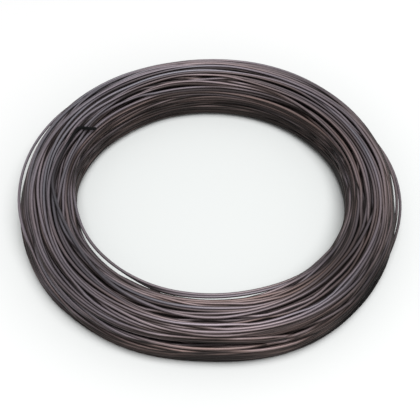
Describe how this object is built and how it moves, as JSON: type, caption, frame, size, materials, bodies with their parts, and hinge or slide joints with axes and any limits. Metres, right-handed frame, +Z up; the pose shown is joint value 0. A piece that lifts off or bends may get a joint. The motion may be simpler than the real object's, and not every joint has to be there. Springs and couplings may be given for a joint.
{
  "type": "coil of annealed wire",
  "caption": "Flat ring-shaped coil of soft black annealed steel tie wire, loosely wound in many turns around an open bore.",
  "frame": {"origin": "centre of the bore, on the floor that the coil lies on", "axes": "+Z is up along the bore's axis; the coil is round, so X and Y are free, and the picture looks along +Y from above"},
  "size_m": [0.226, 0.226, 0.029],
  "materials": {
    "annealed_wire": "soft annealed steel under a thin dark grey oxide film, satin"
  },
  "bodies": {
    "root": {"wire_coil": "annealed_wire"}
  },
  "joints": []
}
